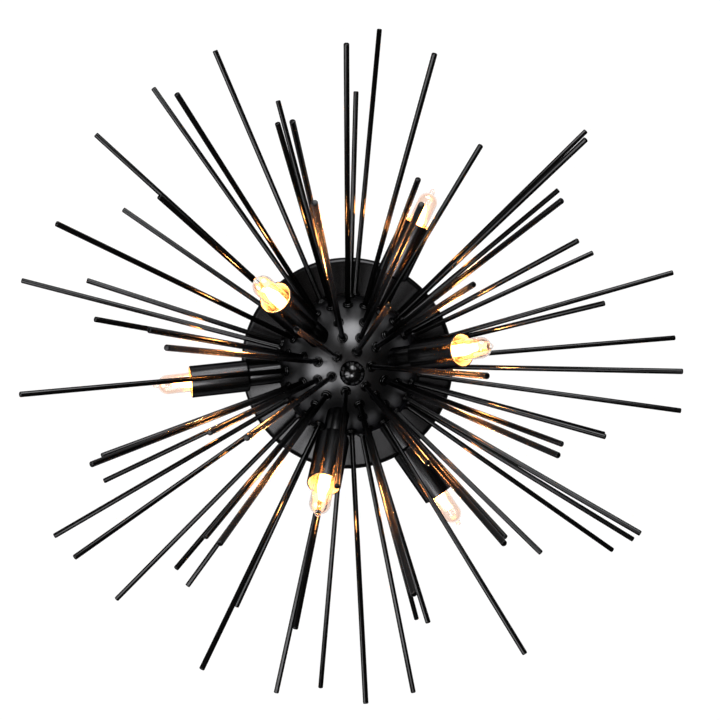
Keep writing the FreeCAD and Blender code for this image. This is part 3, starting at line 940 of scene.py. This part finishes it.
@dataclass
class Lamp:
    """One lamp: neck and cup on the hub, with socket and lit capsule bulb inside."""

    number: int
    hub_radius: float = 0.066
    neck_radius: float = 0.0101
    neck_length: float = 0.028
    neck_wall: float = 0.003
    cup_radius: float = 0.0145
    cup_length: float = 0.053
    cup_wall: float = 0.0015
    cup_floor: float = 0.0035
    cup_shoulder: float = 0.0026
    soft_edge: float = 0.0006
    glass_foot: float = 0.1339
    glass_flat: float = 0.7
    bulb_radius: float = 0.009
    bulb_wall: float = 0.0009
    bulb_straight: float = 0.0336
    pinch_length: float = 0.007
    pinch_width: float = 0.013
    pinch_thick: float = 0.0042
    pinch_soft: float = 0.2
    tip_radius: float = 0.0025
    tip_length: float = 0.0016
    tip_flare: float = 1.15
    tip_waist: float = 0.82
    tip_waist_back: float = 0.55
    core_radius: float = 0.0052
    core_lift: float = 0.002
    core_straight: float = 0.0135
    core_taper: float = 0.012
    core_end_radius: float = 0.0026
    glow_spread: float = 1.6
    glow_lead: float = 0.6
    pin_spacing: float = 0.009
    pin_radius: float = 0.00075
    pin_length: float = 0.008

    @property
    def bulb_body(self) -> str:
        """Body that the bulb moves with."""
        return f"bulb_{self.number}"

    def place(self) -> Matrix:
        """Matrix of the lamp, from the axis of its bulb's joint."""
        joint = next(joint for joint in frame["joints"] if joint["child"] == self.bulb_body)
        return outward(Vector(joint["axis"]), hub_centre())

    def neck(self) -> BMesh:
        """Tube from the hub's skin to the cup, with a soft outer edge."""
        start = math.sqrt(self.hub_radius ** 2 - self.neck_radius ** 2) - self.soft_edge
        end, bore = self.hub_radius + self.neck_length, self.neck_radius - self.neck_wall
        return ring([(start, bore), (start, self.neck_radius),
                     *arc(end - self.soft_edge, self.neck_radius - self.soft_edge, self.soft_edge, 90, 0, 3),
                     (end, bore)])

    def cup(self) -> BMesh:
        """Open cup with a rounded shoulder, a bored hole in its thick floor and a soft lip."""
        start = self.hub_radius + self.neck_length
        mouth, soft = start + self.cup_length, self.cup_shoulder
        inner, lip = self.cup_radius - self.cup_wall, self.cup_wall / 2
        hole = self.neck_radius - self.neck_wall
        bm = ring([(start, hole),
                   *arc(start + soft, self.cup_radius - soft, soft, 180, 90, 6),
                   *arc(mouth - lip, self.cup_radius - lip, lip, 90, -90, 8),
                   (start + self.cup_floor, inner), (start + self.cup_floor, hole)], segments=64)
        for face in bm.faces:
            middle = face.calc_center_median()
            lined = middle.x > start + soft / 2 and math.hypot(middle.y, middle.z) < inner + lip / 2
            face.material_index = int(lined)
        return bm

    def glass(self) -> BMesh:
        """Hollow capsule with a flat pinched foot and a sealed tip."""
        foot, radius, wall = self.glass_foot, self.bulb_radius, self.bulb_wall
        shoulder, inside = foot + self.bulb_straight, radius - wall
        tip = shoulder + radius + self.tip_length
        flare = math.degrees(math.asin(self.tip_radius * self.tip_flare / radius))
        bm = lathe([(foot, 0.0), (foot, radius * self.glass_flat),
                    *arc(foot + wall, radius - wall, wall, 180, 90, 4),
                    *arc(shoulder, 0.0, radius, 90, flare, 10),
                    (tip - self.tip_length * self.tip_waist_back, self.tip_radius * self.tip_waist),
                    *arc(tip, 0.0, self.tip_radius, 110, 0, 7)], segments=40)
        hollow = lathe([(foot + wall, 0.0), *arc(foot + wall * 2, inside - wall, wall, 180, 90, 3),
                        *arc(shoulder, 0.0, inside, 90, 0, 10)], segments=40)
        bmesh.ops.reverse_faces(hollow, faces=hollow.faces)
        stamp(bm, as_mesh(hollow, "bulb_hollow"))
        stamp(bm, self.pinch())
        return bm

    def pinch(self) -> bpy.types.Mesh:
        """Mesh of the flat glass foot in which the wires are sealed."""
        length = self.pinch_length
        size = Matrix.Diagonal((length, self.pinch_width, self.pinch_thick, 1.0))
        middle = Matrix.Translation((self.glass_foot - length / 2, 0, 0))
        block = bmesh.new()
        bmesh.ops.create_cube(block, size=1.0, matrix=middle @ size)
        bmesh.ops.bevel(block, geom=block.edges, offset=self.pinch_thick * self.pinch_soft,
                        offset_type="OFFSET", segments=2, profile=0.5, affect="EDGES", material=-1)
        return as_mesh(block, "bulb_pinch")

    def pin(self, end: float) -> bpy.types.Mesh:
        """Mesh of one pin, with the thinner wire that runs from it through the pinch.

        Args:
            end: Where the wire ends.

        Returns:
            The pin, along +X.
        """
        foot, radius = self.glass_foot - self.pinch_length, self.pin_radius
        start = foot - self.pin_length
        bm = lathe([(start, 0.0), *arc(start + radius, 0.0, radius, 180, 90, 4), (foot, radius),
                    (foot, radius / 2), (end, radius / 2), (end, 0.0)], segments=12)
        for face in bm.faces:
            face.material_index = 1
        return as_mesh(bm, "bulb_pin")

    def core(self) -> BMesh:
        """Glowing core that narrows to a round end, with its two wires and pins."""
        start = self.glass_foot + self.core_lift
        narrow = start + self.core_straight
        end = narrow + self.core_taper
        bm = lathe([(start, 0.0), (start, self.core_radius), (narrow, self.core_radius),
                    *arc(end, 0.0, self.core_end_radius, 90, 0, 6)], segments=32)
        pin = self.pin(start + self.soft_edge)
        for side in (-1, 1):
            stamp(bm, pin, Matrix.Translation((0, side * self.pin_spacing / 2, 0)))
        glow = bm.verts.layers.float.new("core_glow")
        for vert in bm.verts:
            share = (vert.co.x - start) / (end + self.core_end_radius - start)
            vert[glow] = max(0.0, 1.0 - (self.glow_spread * share - self.glow_lead) ** 2)
        return bm

    def build(self, bench: Bench) -> None:
        """Make the lamp's pieces in place and soften its socket.

        The glass casts no shadow and shows in no gloss, so that the core lights the rods through it.

        Args:
            bench: Maker of pieces.
        """
        name, place, fixture = f"lamp_{self.number}", self.place(), Body.FIXTURE.value
        makers = (
            ("neck_tube", self.neck(), fixture, [SatinBlack()], "neck"),
            ("lamp_cup", self.cup(), fixture, [SatinBlack(), CupLining()], "cup"),
            ("capsule_glass", self.glass(), self.bulb_body, [BulbGlass()], "bulb_glass"),
            ("glowing_core", self.core(), self.bulb_body, [LitCore(), ZincPlate()], "bulb_core"),
        )
        for label, bm, body, finishes, node in makers:
            piece = bench.piece(f"{name}_{label}", bm, finishes, [f"{name}_{node}"], body, place)
            piece.visible_shadow = piece.visible_glossy = label != "capsule_glass"
        bench.soften(f"{name}_socket", GlazedCeramic())


@dataclass
class LampHardware:
    """Hollow nipples and nuts that hold the lamps to the hub."""

    nuts: tuple[str, ...] = ("lamp_hub_nuts", "lamp_cup_nuts")
    nipples: str = "lamp_nipples"

    def build(self, bench: Bench) -> None:
        """Soften the nuts and dress the nipples.

        Args:
            bench: Maker of pieces.
        """
        for node in self.nuts:
            bench.soften(node, ZincPlate())
        bench.dress(self.nipples, ZincPlate())


@dataclass
class Finial:
    """Ball nut under the hub, with its washer."""

    radius: float = 0.011
    seat: float = 0.0962
    centre: float = 0.1062
    bore: float = 0.00408
    bore_depth: float = 0.013

    def build(self, bench: Bench) -> None:
        """Spin the bored ball and soften the washer.

        Args:
            bench: Maker of pieces.
        """
        flat = math.degrees(math.acos((self.seat - self.centre) / self.radius))
        ball = lathe([(self.seat + self.bore_depth, 0.0), (self.seat + self.bore_depth, self.bore),
                      (self.seat, self.bore), *arc(self.centre, 0.0, self.radius, flat, 0, 28)], segments=64)
        bench.piece("ball_nut", ball, [GlossBlack()], ["ball_finial"], Body.FINIAL.value, upright())
        bench.soften("finial_washer", GlossBlack(), Body.WASHER.value)


def on_plane(vert: bmesh.types.BMVert, point: Vector) -> bool:
    """Whether a vertex lies on the plane through a point that faces away from the origin."""
    return abs((vert.co - point).dot(point.normalized())) < SEAM_GAP


@dataclass
class CeilingMount:
    """Crossbar, threaded stem, lock nut and slotted screws that hold the light to the ceiling box."""

    stem_radius: float = 0.004
    stem_top: float = 0.0003
    stem_end: float = 0.1072
    stem_pitch: float = 0.00125
    stem_groove: float = 0.00065
    head_radius: float = 0.00375
    head_height: float = 0.0024
    head_rim: float = 0.0012
    dome_up: float = 0.6
    dome_in: float = 0.35
    crown_radius: float = 0.0025
    slot_width: float = 0.001
    slot_depth: float = 0.0013
    shank_radius: float = 0.002
    shank_pitch: float = 0.0007
    shank_groove: float = 0.0004
    bar_thick: float = 0.0025
    bar_soft: float = 0.0004
    ground_offset: float = 0.019
    canopy_floor: float = 0.0248
    canopy_screw_length: float = 0.006
    canopy_screw_circle: float = 0.0575
    canopy_screw_phase: float = 97.4
    canopy_screws: int = 3

    def head(self) -> BMesh:
        """Domed screw head with its flat side at zero and a slot cut into its crown."""
        rim, bend = self.head_rim, self.head_height - self.head_rim
        bm = lathe([(0.0, 0.0), (0.0, self.head_radius), (-rim, self.head_radius),
                    (-rim - bend * self.dome_up, self.head_radius - bend * self.dome_in),
                    (-self.head_height, self.crown_radius), (-self.head_height, 0.0)], segments=32)
        floor, half = self.slot_depth - self.head_height, self.slot_width / 2
        planes = [Vector((floor, 0, 0)), Vector((0, half, 0)), Vector((0, -half, 0))]
        for point in planes:
            bmesh.ops.bisect_plane(bm, geom=[*bm.verts, *bm.edges, *bm.faces], dist=MERGE_GAP,
                                   plane_co=point, plane_no=point.normalized())
        middles = {face: face.calc_center_median() for face in bm.faces}
        slot = [face for face, middle in middles.items() if middle.x < floor and abs(middle.y) < half]
        bmesh.ops.delete(bm, geom=slot, context="FACES")
        border = [edge for edge in bm.edges if edge.is_boundary]
        corners = [vert for vert in bm.verts
                   if vert.is_boundary and sum(on_plane(vert, point) for point in planes) == 2]
        border += [bm.edges.new(pair) for pair in combinations(corners, 2)
                   if abs(pair[0].co.y - pair[1].co.y) < SEAM_GAP]
        for point in planes:
            wall = [edge for edge in border if all(on_plane(vert, point) for vert in edge.verts)]
            bmesh.ops.contextual_create(bm, geom=wall)
        bmesh.ops.recalc_face_normals(bm, faces=bm.faces)
        return bm

    def screw(self, length: float) -> bpy.types.Mesh:
        """Mesh of one slotted screw.

        Args:
            length: Length of its shank.

        Returns:
            The screw, with its shank along +X and rooted in its head.
        """
        bm = self.head()
        shank = thread(self.shank_radius, self.shank_groove, self.shank_pitch, -self.head_rim / 2, length, 16)
        stamp(bm, as_mesh(shank, "screw_shank"))
        return as_mesh(bm, "slotted_screw")

    def build(self, bench: Bench) -> None:
        """Wind the stem, set the screws and soften the bar and its nut.

        Args:
            bench: Maker of pieces.
        """
        stem = thread(self.stem_radius, self.stem_groove, self.stem_pitch, self.stem_top, self.stem_end)
        bench.piece("wound_stem", stem, [ZincPlate()], ["threaded_stem"], place=upright())
        screws, screw = bmesh.new(), self.screw(self.canopy_screw_length)
        seat = Matrix.Translation((self.canopy_screw_circle, 0, -self.canopy_floor)) @ upright()
        for number in range(self.canopy_screws):
            turn = -math.radians(self.canopy_screw_phase + 360 / self.canopy_screws * number)
            stamp(screws, screw, Matrix.Rotation(turn, 4, "Z") @ seat)
        bench.piece("slotted_canopy_screws", screws, [ZincPlate()], ["canopy_screws"])
        ground, short = bmesh.new(), self.screw(self.bar_thick - self.stem_top)
        seat = Matrix.Translation((self.ground_offset, 0, -self.bar_thick)) @ upright().inverted()
        stamp(ground, short, seat)
        bench.piece("slotted_ground_screw", ground, [GreenPaint()], ["ground_screw"])
        for node in ("mounting_crossbar", "stem_lock_nut"):
            bench.soften(node, ZincPlate(), width=self.bar_soft)


@dataclass
class Wiring:
    """Sleeved leads from the sockets to ribbed twist-on connectors in the canopy."""

    lead_radius: float = 0.0016
    lead_start: float = 0.1085
    lead_rise: float = 0.013
    lead_depth: float = 0.014
    lead_end: float = 0.044
    lead_facets: int = 4
    lead_order: int = 3
    lead_steps: int = 16
    mouth: float = 0.038
    mouth_radius: float = 0.00475
    tip: float = 0.062
    tip_radius: float = 0.0032
    bore: float = 0.0017
    rib_start: float = 0.044
    rib_depth: float = 0.0004
    ribs: int = 12
    soft_edge: float = 0.0012

    def route(self, axis: Vector) -> list[Vector]:
        """Control points of one lead's line.

        Args:
            axis: The way that the lamp points from the hub's centre.

        Returns:
            The points from the socket to the connector.
        """
        centre, level = hub_centre(), Vector((axis.x, axis.y, 0))
        across, flat = level.normalized(), level.length
        corner = centre + axis * (self.lead_rise / flat)
        rise = Vector((corner.x, corner.y, -self.lead_depth))
        return [centre + axis * self.lead_start, corner + axis * (rise - corner).length, corner, rise,
                across * self.lead_end - Vector((0, 0, self.lead_depth))]

    def leads(self, axes: Sequence[Vector]) -> bpy.types.Object:
        """Make all the leads as smooth round lines.

        Args:
            axes: The ways that the lamps point.

        Returns:
            The curve object.
        """
        curve = bpy.data.curves.new("sleeved_leads", "CURVE")
        curve.dimensions, curve.use_fill_caps = "3D", True
        curve.bevel_depth, curve.bevel_resolution = self.lead_radius, self.lead_facets
        for axis in axes:
            points = self.route(axis)
            spline = curve.splines.new("NURBS")
            spline.points.add(len(points) - 1)
            for knot, place in zip(spline.points, points):
                knot.co = (*place, 1.0)
            spline.order_u, spline.resolution_u = self.lead_order, self.lead_steps
            spline.use_endpoint_u = True
        return bpy.data.objects.new("sleeved_leads", curve)

    def connector(self) -> bpy.types.Mesh:
        """Mesh of one connector: a flared mouth, ribs that run to the tip and a rounded end."""
        soft, lip = self.soft_edge, self.soft_edge * 0.5
        slope = (self.tip_radius - self.mouth_radius) / (self.tip - self.mouth)
        steps = [self.rib_start - soft, self.rib_start, self.tip - soft * 2, self.tip - soft]
        cone = [(along, self.mouth_radius + slope * (along - self.mouth)) for along in steps]
        bm = lathe([(self.lead_end, 0.0), (self.lead_end, self.bore), (self.mouth, self.bore),
                    *arc(self.mouth + lip, self.mouth_radius - lip, lip, 180, 90, 4), *cone,
                    *arc(self.tip - soft, cone[-1][1] - soft, soft, 90, 0, 4), (self.tip, 0.0)], segments=72)
        for vert in bm.verts:
            spread = math.hypot(vert.co.y, vert.co.z)
            ribbed = self.rib_start - soft * 0.5 < vert.co.x < self.tip - soft * 1.5
            if ribbed and spread > self.bore * 1.2:
                dip = self.rib_depth * (1 - math.cos(self.ribs * math.atan2(vert.co.z, vert.co.y)))
                vert.co.yz = vert.co.yz * (1 - dip / spread)
        return as_mesh(bm, "ribbed_connector")

    def build(self, bench: Bench) -> None:
        """Lay the leads and set a connector on the end of each.

        Args:
            bench: Maker of pieces.
        """
        axes = [Vector(joint["axis"]) for joint in frame["joints"] if joint["child"].startswith("bulb_")]
        bench.register(self.leads(axes), [LeadSleeve()], ["lamp_leads"])
        connectors, connector = bmesh.new(), self.connector()
        for axis in axes:
            turn = Matrix.Rotation(math.atan2(axis.y, axis.x), 4, "Z")
            stamp(connectors, connector, turn @ Matrix.Translation((0, 0, -self.lead_depth)))
        bench.piece("ribbed_connectors", connectors, [OrangePlastic()], ["wire_connectors"])


@dataclass(frozen=True)
class SoftBox:
    """Round soft light that faces the hub, with its place from the hub's centre and its power in watts."""

    name: str
    place: Point
    across: float
    power: float

    def build(self) -> None:
        """Hang the light in the scene."""
        light = bpy.data.lights.new(self.name, "AREA")
        light.shape, light.size, light.energy = "DISK", self.across, self.power
        lamp, away = bpy.data.objects.new(self.name, light), Vector(self.place)
        lamp.rotation_mode = "QUATERNION"
        lamp.location = hub_centre() + away
        lamp.rotation_quaternion = (-away).to_track_quat("-Z", "Y")
        bpy.context.scene.collection.objects.link(lamp)


SOFT_BOXES = (
    SoftBox("soft_box_high", (0.1, -1.4, -0.85), across=1.2, power=30.0),
    SoftBox("soft_box_near", (-0.12, 0.39, -1.5), across=0.56, power=10.0),
    SoftBox("soft_box_right", (0.27, -0.1, -1.5), across=0.3, power=0.75),
    SoftBox("soft_box_left", (-1.05, 0.2, -1.05), across=1.2, power=23.0),
)


@dataclass
class Studio:
    """Pale ceiling and floor, soft light, and the camera under the light."""

    ceiling_gap: float = 0.0006
    room_side: float = 16.0
    floor_depth: float = 2.4
    distance: float = 1.021
    pitch: float = 5.21
    yaw: float = 3.16
    roll: float = -0.56
    aside: tuple[float, float] = (-0.0110, -0.0045)
    focal_pixels: float = 1091.0
    sensor: float = 36.0
    room_light: float = 0.03

    def plane(self, name: str, height: float, face_down: bool,
              paint: CeilingPaint | FloorPaint) -> bpy.types.Object:
        """Make a level painted plane that belongs to the stage.

        Args:
            name: Name of the plane.
            height: Its height.
            face_down: Whether its face looks down.
            paint: Its finish.

        Returns:
            The plane.
        """
        bm = bmesh.new()
        turn = Matrix.Rotation(math.pi if face_down else 0.0, 4, "X")
        bmesh.ops.create_grid(bm, x_segments=1, y_segments=1, size=self.room_side / 2,
                              matrix=Matrix.Translation((0, 0, height)) @ turn)
        plane = bpy.data.objects.new(name, as_mesh(bm, name))
        bpy.context.scene.collection.objects.link(plane)
        plane.data.materials.append(paint.material())
        return plane

    def camera(self) -> None:
        """Put the camera where the photograph was taken from, almost straight below the light."""
        data = bpy.data.cameras.new("camera")
        data.sensor_width = self.sensor
        data.lens = self.focal_pixels / PHOTO_SIDE * self.sensor
        tilt = [math.radians(angle) for angle in (self.pitch, self.yaw, self.roll)]
        turn = Matrix.Rotation(math.pi, 3, "X") @ Euler(tilt, "XYZ").to_matrix().transposed()
        place = hub_centre() + turn @ Vector((-self.aside[0], -self.aside[1], self.distance))
        camera = bpy.data.objects.new("camera", data)
        camera.matrix_world = Matrix.Translation(place) @ turn.to_4x4()
        bpy.context.scene.collection.objects.link(camera)
        bpy.context.scene.camera = camera

    def room(self) -> bpy.types.World:
        """Make the dim world, which shows white to the camera and through glass as the ceiling does."""
        world = bpy.data.worlds.new("soft_room")
        world.use_nodes = True
        nodes, links = world.node_tree.nodes, world.node_tree.links
        background, spread = nodes["Background"], nodes.new("ShaderNodeMapRange")
        background.inputs["Color"].default_value = (1, 1, 1, 1)
        spread.inputs["To Min"].default_value = self.room_light
        seen = seen_by(world.node_tree, "Is Camera Ray", "Is Transmission Ray")
        links.new(seen, spread.inputs["Value"])
        links.new(spread.outputs["Result"], background.inputs["Strength"])
        return world

    def build(self) -> None:
        """Set the stage, the lights, the world and the camera."""
        ceiling = self.plane("ceiling", self.ceiling_gap, True, CeilingPaint())
        ceiling.visible_shadow = ceiling.visible_diffuse = False
        self.plane("floor", -self.floor_depth, False, FloorPaint())
        for box in SOFT_BOXES:
            box.build()
        scene = bpy.context.scene
        scene.world = self.room()
        scene.view_settings.view_transform = "Standard"
        self.camera()


def main() -> None:
    """Build and dress every sub-assembly, then set the studio."""
    logging.basicConfig(level=logging.INFO, format="%(name)s: %(message)s")
    bench = Bench()
    lamps = [Lamp(number) for number in range(1, 7)]
    for part in (Canopy(), Hub(), RodSpray(), *lamps, LampHardware(), Finial(), CeilingMount(), Wiring()):
        part.build(bench)
    Studio().build()


if __name__ == "__main__":
    main()
